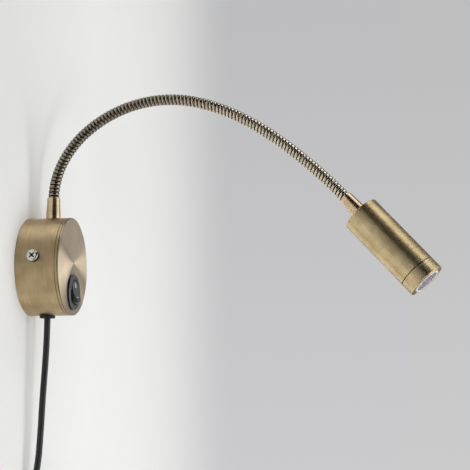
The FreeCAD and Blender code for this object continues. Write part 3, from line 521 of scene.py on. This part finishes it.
base_d, base_depth, groove_deep = 65.0, 29.0, 0.25
face_edge, brushed_up = 0.25, 2.4
lines_back, lines_front = 3.1, 0.7         # behind the face
# The drum's two turned lines are painted dark as shade.
drum_brass = brushed_brass("drum_brushed_brass", drum_frame,
                           face=(base_depth - face_edge, brushed_up),
                           dark_line=((base_d - groove_deep) / 2, base_depth - lines_back,
                                      base_depth - lines_front))
fit(carried("base_cover"), drum_brass, "root", "satin_brass", "base_cover")


# ---------------------------------------------------------------- wall bracket and side screws
# Zinc-plated pressed steel plate that is screwed to the wall; its two folded tabs take the drum's
# side screws, M4 with nickel-plated pan heads. Their cross recess and the band under the head's
# edge are painted dark as shade.
def plated(name, colour, rough, spread, spot_mm):
    """A plated metal: its colour and gloss vary a little in soft spots."""
    material, tree, output = new_material(name)
    place = add_node(tree, "ShaderNodeTexCoord").outputs["Object"]
    spots = add_node(tree, "ShaderNodeTexNoise", {"Vector": place, "Scale": 1 / (spot_mm * MM),
                                                  "Detail": 4.0, "Roughness": 0.6})
    shades = [[min(c * k, 1) for c in tone(colour)[:3]] + [1] for k in (0.85, 1.1)]
    shade = add_node(tree, "ShaderNodeMix", {"Factor": spots.outputs["Fac"], "A": shades[0],
                                             "B": shades[1]}, data_type="RGBA")
    gloss = add_node(tree, "ShaderNodeMapRange",
                     {"Value": spots.outputs["Fac"], "To Min": rough - spread,
                      "To Max": rough + spread})
    metal = add_node(tree, "ShaderNodeBsdfPrincipled", {"Base Color": shade.outputs["Result"],
                                                        "Metallic": 1.0,
                                                        "Roughness": gloss.outputs["Result"]})
    tree.links.new(metal.outputs["BSDF"], output.inputs["Surface"])
    return material


zinc = plated("bracket_zinc_plate", "#A9AEB2", 0.42, 0.12, 1.5)
nickel = plated("screw_bright_nickel", "#D9D6CE", 0.2, 0.06, 2.0)
fit(carried("wall_bracket", 0.15), zinc, "root", "zinc_steel", "wall_bracket")
painted_shade_nickel = plated("screw_painted_shade_nickel", "#191A1E", 0.5, 0.1, 0.5)
screws = fit(carried("cover_screws", 0.12), nickel, "root", "bright_nickel", "cover_screws")
screws.data.materials.append(painted_shade_nickel)
bracket_lean, side_screw_out, pan_head_t = 6.0, 12.0, 2.6
recess_r, pan_head_r = 2.9, 4.3
recess_top, edge_top, head_foot = -0.5, -0.9, -3.0         # from the pan head's crown
for angle in (180 - bracket_lean, -bracket_lean):
    into = (drum_frame @ Matrix.Translation((0, 0, side_screw_out * MM))
            @ Matrix.Rotation(math.radians(angle), 4, "Z")
            @ Matrix.Rotation(math.radians(90), 4, "Y")
            @ Matrix.Translation((0, 0, (base_d / 2 + pan_head_t) * MM))).inverted()
    for face in screws.data.polygons:
        spot = into @ face.center / MM
        facing = (into.to_3x3() @ face.normal).z
        out = spot.to_2d().length
        # Painted shade: faces in the cross recess and under the pan head's edge take the dark
        # nickel.
        recess = out < recess_r and (facing < 0.8 or spot.z < recess_top)
        under_edge = recess_r <= out < pan_head_r and spot.z < edge_top
        if spot.z > head_foot and (recess or under_edge):
            face.material_index = 1
coat("plug_pins", nickel)


# ---------------------------------------------------------------- rocker switch
# Round snap-in switch moulded in black nylon: a case whose flange has its bevel painted pale as a
# highlight, and a rocker whose upper half is pressed in. Behind them work a sprung plunger and a
# copper contact.
switch_nylon = moulded("switch_black_nylon", "#0B0B0C", 0.24, 0.5, 0.015, shine=0.25)
rocker_nylon = moulded("rocker_black_nylon", "#0C0C0D", 0.27, 0.5, 0.015)
copper = plated("contact_copper", "#C58A63", 0.3, 0.08, 1.0)
steel = plated("spring_steel", "#B9BBBD", 0.3, 0.08, 1.0)
painted_highlight_nylon = moulded("switch_painted_highlight_bevel", "#5A5A5E", 0.3, 0.5, 0.015)
switch_case = fit(carried("switch_housing", 0.2), switch_nylon, "root", "switch_black",
                  "switch_housing")
switch_case.data.materials.append(painted_highlight_nylon)
bevel_out = 29.9                   # wall to the bevel's foot
# Painted highlight: the flange's slanted bevel faces take the paler nylon.
for face in switch_case.data.polygons:
    slanted = 0.3 < -face.normal.y < 0.95
    if slanted and face.center.y < -bevel_out * MM:
        face.material_index = 1
fit(carried("switch_rocker", 0.25), rocker_nylon, "rocker", "switch_black", "switch_rocker")
switch_drop, rocker_axis_deep, rocker_tilt, rocker_r = 17.3, 0.6, 12.0, 8.2
rocker_rim, rocker_dish = 4.0, 0.8
rocker_frame = (drum_frame
                @ Matrix.Translation((0, -switch_drop * MM, (base_depth - rocker_axis_deep) * MM))
                @ Matrix.Rotation(math.radians(-rocker_tilt), 4, "X"))
half_chord = math.sqrt(rocker_r ** 2 - rocker_rim ** 2)
dish_r = (half_chord ** 2 + rocker_dish ** 2) / (2 * rocker_dish)
mark_paint = moulded("mark_pale_grey_print", "#D5D5D6", 0.5, 0.3, 0.01)
mark_up, ring_in_r, ring_out_r, bar_wide, bar_high = 4.1, 0.95, 1.5, 2.6, 0.5
mark_low, mark_high = -0.1, 0.04   # below and above the rocker's face
for name, up in (("rocker_ring_mark", mark_up), ("rocker_bar_mark", -mark_up)):
    bm = bmesh.new()
    if up > 0:
        outline = [bm.verts.new((r * MM, 0, z * MM))
                   for r, z in ((ring_in_r, mark_low), (ring_in_r, mark_high),
                                (ring_out_r, mark_high), (ring_out_r, mark_low))]
        edges = [bm.edges.new(pair) for pair in zip(outline, outline[1:] + outline[:1])]
        bmesh.ops.spin(bm, geom=outline + edges, cent=(0, 0, 0), axis=(0, 0, 1), angle=math.tau,
                       steps=32, use_merge=True)
    else:
        bmesh.ops.create_cube(bm, size=1.0)
        bmesh.ops.scale(bm, verts=bm.verts,
                        vec=(bar_wide * MM, bar_high * MM, (mark_high - mark_low) * MM))
        bmesh.ops.translate(bm, verts=bm.verts, vec=(0, 0, (mark_high + mark_low) / 2 * MM))
    bmesh.ops.recalc_face_normals(bm, faces=bm.faces)
    for vert in bm.verts:
        y = vert.co.y / MM + up
        sink = rocker_rim - rocker_dish + dish_r - math.sqrt(dish_r ** 2 - y ** 2)
        vert.co += Vector((0, up * MM, sink * MM))
    bmesh.ops.transform(bm, matrix=rocker_frame, verts=bm.verts)
    fit(mesh_object(name, bm, smooth=False), mark_paint, "rocker", "switch_black")
for node, material in (("switch_plunger", switch_nylon), ("plunger_spring", steel),
                       ("contact_lever", copper), ("switch_terminals", copper)):
    coat(node, material)


# ---------------------------------------------------------------- cable bush and cord end
# Soft rubber bush snapped into the drum's underside. Inside, a crimped collar on the cord's end
# stops it from being pulled out.
bush_rubber = moulded("bush_black_rubber", "#19191A", 0.62, 0.4, 0.05)
fit(carried("cable_bush", 0.3), bush_rubber, "root", "rubber_black", "cable_bush")
fit(carried("cord_inner_end"), flex_pvc, "root", "cord_pvc", "cord_inner_end")
coat("cord_stop", zinc)


# ---------------------------------------------------------------- driver and leads in the drum
# Potted LED driver in a moulded ABS shell, stuck behind the drum's face. Single-core PVC leads
# join the cord, the switch and the driver, and go on up to the arm.
driver_abs = moulded("driver_moulded_abs", "#3A3B3D", 0.5, 0.5, 0.05)
lead_pvc = moulded("lead_red_pvc", "#8E2A22", 0.4, 0.5, 0.02)
fit(carried("led_driver"), driver_abs, "root", "driver_shell", "led_driver")
fit(carried("internal_leads"), lead_pvc, "root", "lead_pvc", "internal_leads")


# ---------------------------------------------------------------- arm fittings
# Ferrules turned bright from brass bar, screwed through the drum's top and the head's back: a zinc
# saddle or washer and a hexagon nut hold each from inside. The arm between them is bent in ten
# arcs of one length.
neck_out, neck_seat = 14.4, 32.1
ferrule_long, ferrule_d, ferrule_tip_d = 14.5, 9.9, 8.6
spigot_d, spigot_long, socket_deep = 8.0, 7.2, 10.0
hose_d, hose_bore = 7.3, 4.6
section_long = 25.5
arm_bend_angles = (27.0, 22.0, 17.25, 17.5, 17.5, 13.0, 9.0, 6.5, 3.75, 4.5)
arm_lean_angles = (0.0, 0.0, 0.0, 0.0, 0.0, 1.5, 1.5, 1.5, 1.5, 1.5)
sections = len(arm_bend_angles)


def section_frame(start, bend, lean, share):
    """The arm's frame part way along a section. Each section is one arc of a circle."""
    axis = Vector((bend, -lean, 0)).normalized()
    turn = math.radians(math.hypot(bend, lean))
    centre = axis.cross(Vector((0, 0, 1))) * (section_long * MM / turn)
    return (start @ Matrix.Translation(centre) @ Matrix.Rotation(turn * share, 4, axis)
            @ Matrix.Translation(-centre))


neck_frame = Matrix.Translation((0, -neck_out * MM, neck_seat * MM))
arm_frames = [neck_frame @ Matrix.Translation((0, 0, ferrule_long * MM))]
for bend, lean in zip(arm_bend_angles, arm_lean_angles):
    arm_frames.append(section_frame(arm_frames[-1], bend, lean, 1.0))
head_frame = arm_frames[-1] @ Matrix.Translation((0, 0, ferrule_long * MM))
head_back_frame = head_frame @ Matrix.Rotation(math.pi, 4, "X")


def turned(name, frame_at, outline, rounds, steps=96):
    """A piece turned on a lathe: an outline of (radius, height) points, spun. rounds gives some
    corners' numbers in the outline and their radii."""
    bm = bmesh.new()
    corners = [bm.verts.new((r * MM, 0, z * MM)) for r, z in outline]
    pairs = list(zip(corners, corners[1:]))
    if min(r for r, z in outline) > 0:
        pairs.append((corners[-1], corners[0]))
    for pair in pairs:
        bm.edges.new(pair)
    for number, size in rounds.items():
        bmesh.ops.bevel(bm, geom=[corners[number]], offset=size * MM, segments=3, profile=0.5,
                        affect="VERTICES", material=-1)
    bmesh.ops.spin(bm, geom=bm.verts[:] + bm.edges[:], cent=(0, 0, 0), axis=(0, 0, 1),
                   angle=math.tau, steps=steps, use_merge=True)
    bmesh.ops.remove_doubles(bm, verts=bm.verts, dist=1e-7)
    bmesh.ops.recalc_face_normals(bm, faces=bm.faces)
    soften(bm, 50)
    bmesh.ops.transform(bm, matrix=frame_at, verts=bm.verts)
    made = mesh_object(name, bm)
    made.modifiers.new("flat_faces", "WEIGHTED_NORMAL").keep_sharp = True
    return made


ferrule_outline = [(hose_bore / 2, -spigot_long), (spigot_d / 2, -spigot_long), (spigot_d / 2, 0),
                   (ferrule_d / 2, 0), (ferrule_tip_d / 2, ferrule_long),
                   (hose_d / 2 + 0.05, ferrule_long),
                   (hose_d / 2 + 0.05, ferrule_long - socket_deep),
                   (hose_bore / 2, ferrule_long - socket_deep)]
ferrule_rounds = {1: 0.4, 3: 0.25, 4: 0.3, 5: 0.15}
for node, body, frame_at in (("base_ferrule", "root", neck_frame),
                             ("head_ferrule", "head", head_back_frame)):
    ferrule_brass = brushed_brass(node + "_turned_brass", frame_at, "#EAD2B0", "#C9AC88",
                                  rough=(0.27, 0.31), line_mm=0.8, grain=0.4, relief=0.0)
    fit(turned(node + "_shown", frame_at, ferrule_outline, ferrule_rounds), ferrule_brass, body,
        "satin_brass", node)
for node in ("neck_saddle", "base_nut", "head_washer", "head_nut"):
    coat(node, zinc)


# ---------------------------------------------------------------- wound arm
# Gooseneck wound from two steel wires, brass-plated: the round outer wire shows as slanted ribs
# 2.55 mm apart, dark between them. It is bent smoothly in ten arcs, one for each section.
rib_pitch, rib_deep = section_long / 10, 0.62
# Share of the pitch, and depth below the crest in mm.
rib_outline = ((0.00, rib_deep), (0.08, 0.58), (0.13, 0.30), (0.17, 0.11), (0.25, 0.03),
               (0.50, 0.0), (0.75, 0.03), (0.83, 0.11), (0.87, 0.30), (0.92, 0.58),
               (1.00, rib_deep))
rib_steps = 28
hose_wall = 0.3
arm_long = section_long * sections


def arm_place(point):
    """A point of the straight arm, bent onto the arm's arcs. Its height is the way along."""
    section = min(max(int(point.z / (section_long * MM)), 0), sections - 1)
    along = min(max(point.z, 0.0), arm_long * MM)
    share = along / (section_long * MM) - section
    frame_at = section_frame(arm_frames[section], arm_bend_angles[section],
                             arm_lean_angles[section], share)
    return frame_at @ Vector((point.x, point.y, point.z - along))


def wind(first_turn):
    """Sixteen turns of the wound wires, straight: the outer surface as one helical strip."""
    bm = bmesh.new()
    line = [bm.verts.new(((hose_d / 2 - drop) * MM, 0, (first_turn + share) * rib_pitch * MM))
            for share, drop in rib_outline]
    edges = [bm.edges.new(pair) for pair in zip(line, line[1:])]
    bmesh.ops.spin(bm, geom=line + edges, cent=(0, 0, 0), axis=(0, 0, 1),
                   dvec=(0, 0, rib_pitch * MM / rib_steps), angle=math.tau, steps=rib_steps)
    for doubled in range(4):
        copies = bmesh.ops.duplicate(bm, geom=bm.verts[:] + bm.edges[:] + bm.faces[:])["geom"]
        bmesh.ops.translate(bm, verts=[g for g in copies if isinstance(g, bmesh.types.BMVert)],
                            vec=(0, 0, rib_pitch * 2 ** doubled * MM))
    bmesh.ops.remove_doubles(bm, verts=bm.verts, dist=1e-6)
    bmesh.ops.recalc_face_normals(bm, faces=bm.faces)
    return bm


def along_arm(name, form, material, nodes):
    """Bends a straight form onto the arm, in lengths cut half way along each section. Each point
    keeps its depth below the ribs' crest, as a share of theirs, for the wire's colour."""
    half = section_long * MM / 2
    reach = (socket_deep - 0.1) * MM
    cuts = [-reach] + [half * (2 * n + 1) for n in range(sections)] + [arm_long * MM + reach]
    for number, (low, high) in enumerate(zip(cuts, cuts[1:])):
        bm = form(math.floor(low / (rib_pitch * MM)) - 1)
        for height, side in ((low, -1), (high, 1)):
            bmesh.ops.bisect_plane(bm, geom=bm.verts[:] + bm.edges[:] + bm.faces[:],
                                   plane_co=(0, 0, height), plane_no=(0, 0, side),
                                   clear_outer=True)
        bmesh.ops.solidify(bm, geom=bm.faces[:], thickness=hose_wall * MM)
        depth = bm.verts.layers.float.new("depth")
        for vert in bm.verts:
            vert[depth] = (hose_d / 2 * MM - vert.co.to_2d().length) / (rib_deep * MM)
            vert.co = arm_place(vert.co)
        piece = mesh_object(f"{name}_{number:02d}", bm)
        piece.data.materials.append(material)
        if number == 0:
            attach(piece, "root")
            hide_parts(nodes[0])
        elif number == sections:
            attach(piece, "head")
            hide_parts(nodes[-1])
        else:
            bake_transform(piece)
            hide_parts(nodes[number - 1], nodes[number])


def wound_wire(name):
    """Brass-plated steel wire, drawn smooth: bright on the ribs and dark between them with patina
    and painted shade, and darker nearer the wall."""
    material, tree, output = new_material(name)
    depth = add_node(tree, "ShaderNodeAttribute", attribute_name="depth").outputs["Fac"]
    place = add_node(tree, "ShaderNodeTexCoord").outputs["Object"]
    worn = add_node(tree, "ShaderNodeTexNoise", {"Vector": place, "Scale": 160.0, "Detail": 2.0})
    low = add_node(tree, "ShaderNodeMapRange", {"Value": depth, "From Min": 0.15, "From Max": 0.6})
    out = add_node(tree, "ShaderNodeSeparateXYZ", {"Vector": place}).outputs["Y"]
    away_from_wall = add_node(tree, "ShaderNodeMapRange",
                     {"Value": out, "From Min": -0.05, "From Max": -0.16},
                     interpolation_type="SMOOTHSTEP")
    mottled = add_node(tree, "ShaderNodeMath", {0: worn.outputs["Fac"], 1: 0.3},
                       operation="MULTIPLY")
    pale_share = add_node(tree, "ShaderNodeMath",
                     {0: away_from_wall.outputs["Result"], 1: mottled.outputs["Value"]}, use_clamp=True)
    plate = add_node(tree, "ShaderNodeMix",
                     {"Factor": pale_share.outputs["Value"], "A": tone("#857C6C"),
                      "B": tone("#DACDB8")}, data_type="RGBA")
    # Patina and painted shade: the wire is darkened by its depth below the ribs' crest.
    colour = add_node(tree, "ShaderNodeMix", {"Factor": low.outputs["Result"],
                                              "A": plate.outputs["Result"], "B": tone("#1E1712")},
                      data_type="RGBA")
    rough = add_node(tree, "ShaderNodeMapRange", {"Value": low.outputs["Result"], "To Min": 0.2,
                                                  "To Max": 0.55})
    metal = add_node(tree, "ShaderNodeBsdfPrincipled", {"Base Color": colour.outputs["Result"],
                                                        "Metallic": 1.0,
                                                        "Roughness": rough.outputs["Result"]})
    tree.links.new(metal.outputs["BSDF"], output.inputs["Surface"])
    return material


wire_plate = wound_wire("arm_brass_plated_wire")
section_numbers = range(1, sections + 1)
along_arm("arm_winding", wind, wire_plate, [f"hose_{n:02d}" for n in section_numbers])
for n in section_numbers:
    coat(f"arm_lead_{n:02d}", lead_pvc)


# ---------------------------------------------------------------- head tube and front ring
# Brass tube, 25 mm across, closed at the back round the arm's fitting, and a turned front ring
# screwed into it; a fine shadow line is left between the two and painted dark as shade. Both are
# brushed round and round.
head_d, head_long, head_wall, head_back = 25.0, 60.7, 1.2, 1.8
bezel_long, bezel_spigot, bezel_lip, aperture_d = 9.0, 5.0, 1.3, 19.0
shadow_wide, shadow_deep = 0.6, 0.5
tube_long = head_long - bezel_long
bore_r = head_d / 2 - head_wall
fitting_hole_r, ring_spigot_r, ring_bore_r = 4.1, bore_r - 0.05, bore_r - 0.85
head_brass = brushed_brass("head_brushed_brass", head_frame, "#F3E0B4", "#CDB385",
                           rough=(0.36, 0.46),
                           dark_line=(head_d / 2 - shadow_deep / 2, tube_long - 0.1,
                                      tube_long + shadow_wide + 0.1))
tube = turned("head_tube_shown", head_frame,
              [(fitting_hole_r, 0), (head_d / 2, 0), (head_d / 2, tube_long), (bore_r, tube_long),
               (bore_r, head_back), (fitting_hole_r, head_back)], {1: 0.8, 2: 0.12}, steps=128)
fit(tube, head_brass, "head", "satin_brass", "head_tube")
ring = turned("bezel_ring_shown", head_frame,
              [(ring_spigot_r, tube_long - bezel_spigot), (ring_spigot_r, tube_long),
               (head_d / 2 - shadow_deep, tube_long),
               (head_d / 2 - shadow_deep, tube_long + shadow_wide),
               (head_d / 2, tube_long + shadow_wide), (head_d / 2, head_long),
               (aperture_d / 2, head_long), (aperture_d / 2, head_long - bezel_lip),
               (ring_bore_r, head_long - bezel_lip), (ring_bore_r, tube_long - bezel_spigot)],
              {4: 0.12, 5: 0.4, 6: 0.3}, steps=128)
fit(ring, head_brass, "head", "satin_brass", "bezel_ring")


# ---------------------------------------------------------------- lamp unit in the head
# A bare aluminium plug with fins carries the LED's heat to the tube. On it stand the LED board
# and a white holder with the moulded lens, whose ridged face stands just proud of the ring; a
# black ring seals it.
aluminium = plated("heat_sink_aluminium", "#C9CBCC", 0.35, 0.08, 1.0)
board_mask = moulded("board_white_solder_mask", "#E6E6E2", 0.4, 0.5, 0.01)
holder_pc = moulded("holder_white_polycarbonate", "#DDDCD8", 0.35, 0.5, 0.02)
led_silicone = moulded("led_yellow_silicone", "#E3C24A", 0.35, 0.5, 0.01)
fit(carried("heat_sink"), aluminium, "head", "bare_aluminium", "heat_sink")
coat("led_board", board_mask)
coat("led_chip", led_silicone)
coat("board_screws", zinc)
coat("lens_holder", holder_pc)
fit(carried("lens_gasket", 0.1), bush_rubber, "head", "rubber_black", "lens_gasket")
fit(carried("head_leads"), lead_pvc, "head", "lead_pvc", "head_leads")


def stippled_lens(name, ridge_mm=0.7):
    """Hazy polycarbonate with moulded ridges 0.7 mm apart across its face, which blur what is
    behind and show as fine streaks."""
    material, tree, output = new_material(name)
    place = add_node(tree, "ShaderNodeTexCoord").outputs["Object"]
    own = add_node(tree, "ShaderNodeMapping",
                   {"Vector": place, "Location": head_frame.translation,
                    "Rotation": head_frame.to_euler()}, vector_type="TEXTURE")
    drawn = add_node(tree, "ShaderNodeVectorMath", {0: own.outputs["Vector"],
                                                    1: (150.0, 1 / (ridge_mm * MM), 150.0)},
                     operation="MULTIPLY")
    ridges = add_node(tree, "ShaderNodeTexNoise", {"Vector": drawn.outputs["Vector"], "Scale": 1.0,
                                                   "Detail": 1.0})
    shade = add_node(tree, "ShaderNodeMapRange", {"Value": ridges.outputs["Fac"], "From Min": 0.35,
                                                  "From Max": 0.65})
    haze = add_node(tree, "ShaderNodeMix", {"Factor": shade.outputs["Result"], "A": tone("#8E8496"),
                                            "B": tone("#C4BCC8")}, data_type="RGBA")
    bump = add_node(tree, "ShaderNodeBump", {"Height": ridges.outputs["Fac"], "Strength": 0.6,
                                             "Distance": 0.1 * MM})
    lens = add_node(tree, "ShaderNodeBsdfPrincipled",
                    {"Base Color": haze.outputs["Result"], "Roughness": 0.35, "IOR": 1.58,
                     "Transmission Weight": 0.35, "Normal": bump.outputs["Normal"]})
    tree.links.new(lens.outputs["BSDF"], output.inputs["Surface"])
    return material


lens_polycarbonate = stippled_lens("lens_stippled_polycarbonate")
coat("lens", lens_polycarbonate)
lens_proud = 0.4                   # the rim and the lens stand before the ring
rim_under_lip = 0.58
rim_back, rim_front = head_long - bezel_lip - rim_under_lip, head_long + lens_proud
rim_seat_r, rim_r, lens_face_r = 8.45, 9.35, 7.9
rim = turned("lens_holder_rim", head_frame,
             [(rim_seat_r, rim_back), (rim_r, rim_back), (rim_r, rim_front),
              (lens_face_r, rim_front), (lens_face_r, head_long), (rim_seat_r, head_long)],
             {2: 0.2, 3: 0.12})
fit(rim, holder_pc, "head", "holder_white")
dome_edge_r, dome_back, dome_foot = lens_face_r - 0.03, rim_front - 0.35, rim_front - 0.05
dome_high = 0.3
dome = [(0, dome_back), (dome_edge_r, dome_back), (dome_edge_r, dome_foot)]
dome += [(lens_face_r * share, dome_foot + dome_high * (1 - share ** 2))
         for share in (0.8, 0.6, 0.4, 0.2, 0)]
lens_front = turned("lens_front_face", head_frame, dome, {2: 0.1})
fit(lens_front, lens_polycarbonate, "head", "lens_clear")
